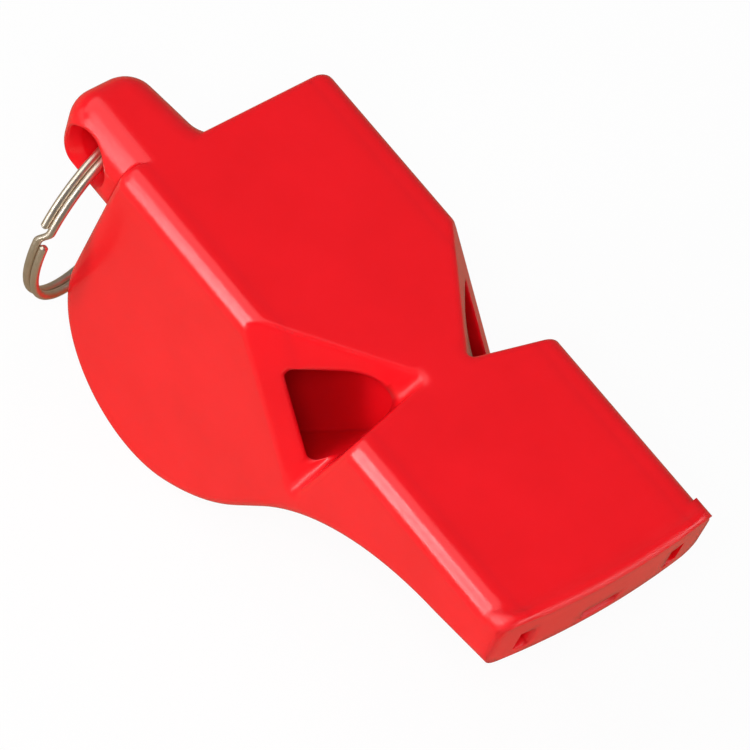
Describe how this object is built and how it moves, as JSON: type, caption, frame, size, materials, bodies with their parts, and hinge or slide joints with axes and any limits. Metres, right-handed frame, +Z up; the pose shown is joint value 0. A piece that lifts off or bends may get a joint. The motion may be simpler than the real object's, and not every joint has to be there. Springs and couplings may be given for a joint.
{
  "type": "sports whistle",
  "caption": "Flat-topped pealess whistle with side windows cut as V notches behind a wide mouthpiece, closed by welded side covers, with a wire split ring in a rear lug.",
  "frame": {"origin": "on the flat roof, on the mid-plane, level with the roof's two front corners", "axes": "+X to the mouthpiece's tip, +Y to the side away from the lug, +Z up out of the roof"},
  "size_m": [0.0554, 0.0242, 0.0268],
  "materials": {
    "shell": "glossy red moulded plastic",
    "ring_wire": "nickel-plated spring wire"
  },
  "bodies": {
    "whistle": {"body": "shell", "left_cover": "shell", "right_cover": "shell"},
    "ring": {"split_ring": "ring_wire"}
  },
  "joints": [
    {"name": "ring_swing", "type": "hinge", "parent": "whistle", "child": "ring", "pos_m": [-0.019, -0.0059, -0.0037], "axis": [-0.2419, 0.9703, 0], "range_deg": [0, 200]}
  ]
}
